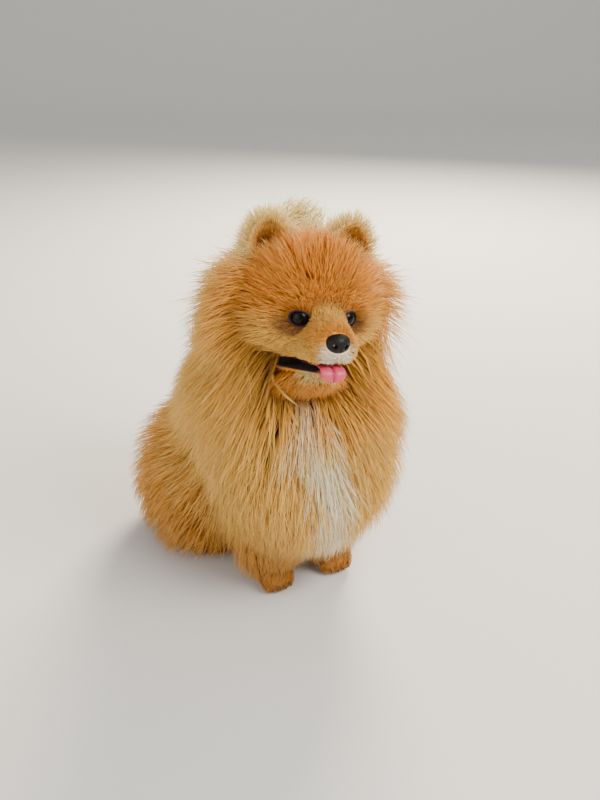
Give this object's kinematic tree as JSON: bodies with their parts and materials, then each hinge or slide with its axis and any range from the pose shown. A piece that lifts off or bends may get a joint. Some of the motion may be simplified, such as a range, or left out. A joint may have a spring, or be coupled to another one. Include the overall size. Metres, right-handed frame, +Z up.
{
  "type": "sitting pomeranian model",
  "caption": "Life-size still model of a sitting pomeranian with a full ruff, plumed tail over the back, open mouth and tongue out.",
  "frame": {"origin": "centre of the bounding box at the level of the floor that the dog sits on", "axes": "+Z up, -Y the way the dog faces, +X its left side"},
  "size_m": [0.1964, 0.2664, 0.3025],
  "materials": {
    "face": "short soft fur, rust orange paling to cream at the muzzle",
    "ear": "thin skin with soft orange hair and a pale fringe",
    "ruff": "long dense golden hair with cream tips",
    "bib": "long dense hair, white down the middle and golden at the sides",
    "coat": "long dense golden tan hair",
    "haunch": "long dense tan hair with an orange edge",
    "leg": "golden brown hair, short on the paws",
    "plume": "very long pale golden hair",
    "eye": "wet dark brown eye",
    "nose": "moist black pebbled leather",
    "tongue": "wet pink tongue"
  },
  "bodies": {
    "root": {"eye_left": "eye", "eye_right": "eye", "nose": "nose", "tongue": "tongue", "ear_left": "ear", "ear_right": "ear", "jaw": "face", "head": "face", "neck": "ruff", "forepaw_left": "leg", "forepaw_right": "leg", "foreleg_left": "leg", "foreleg_right": "leg", "hindpaw_left": "leg", "hindpaw_right": "leg", "thigh_left": "haunch", "thigh_right": "haunch", "tail": "plume", "chest": "bib", "torso": "coat"}
  },
  "joints": []
}
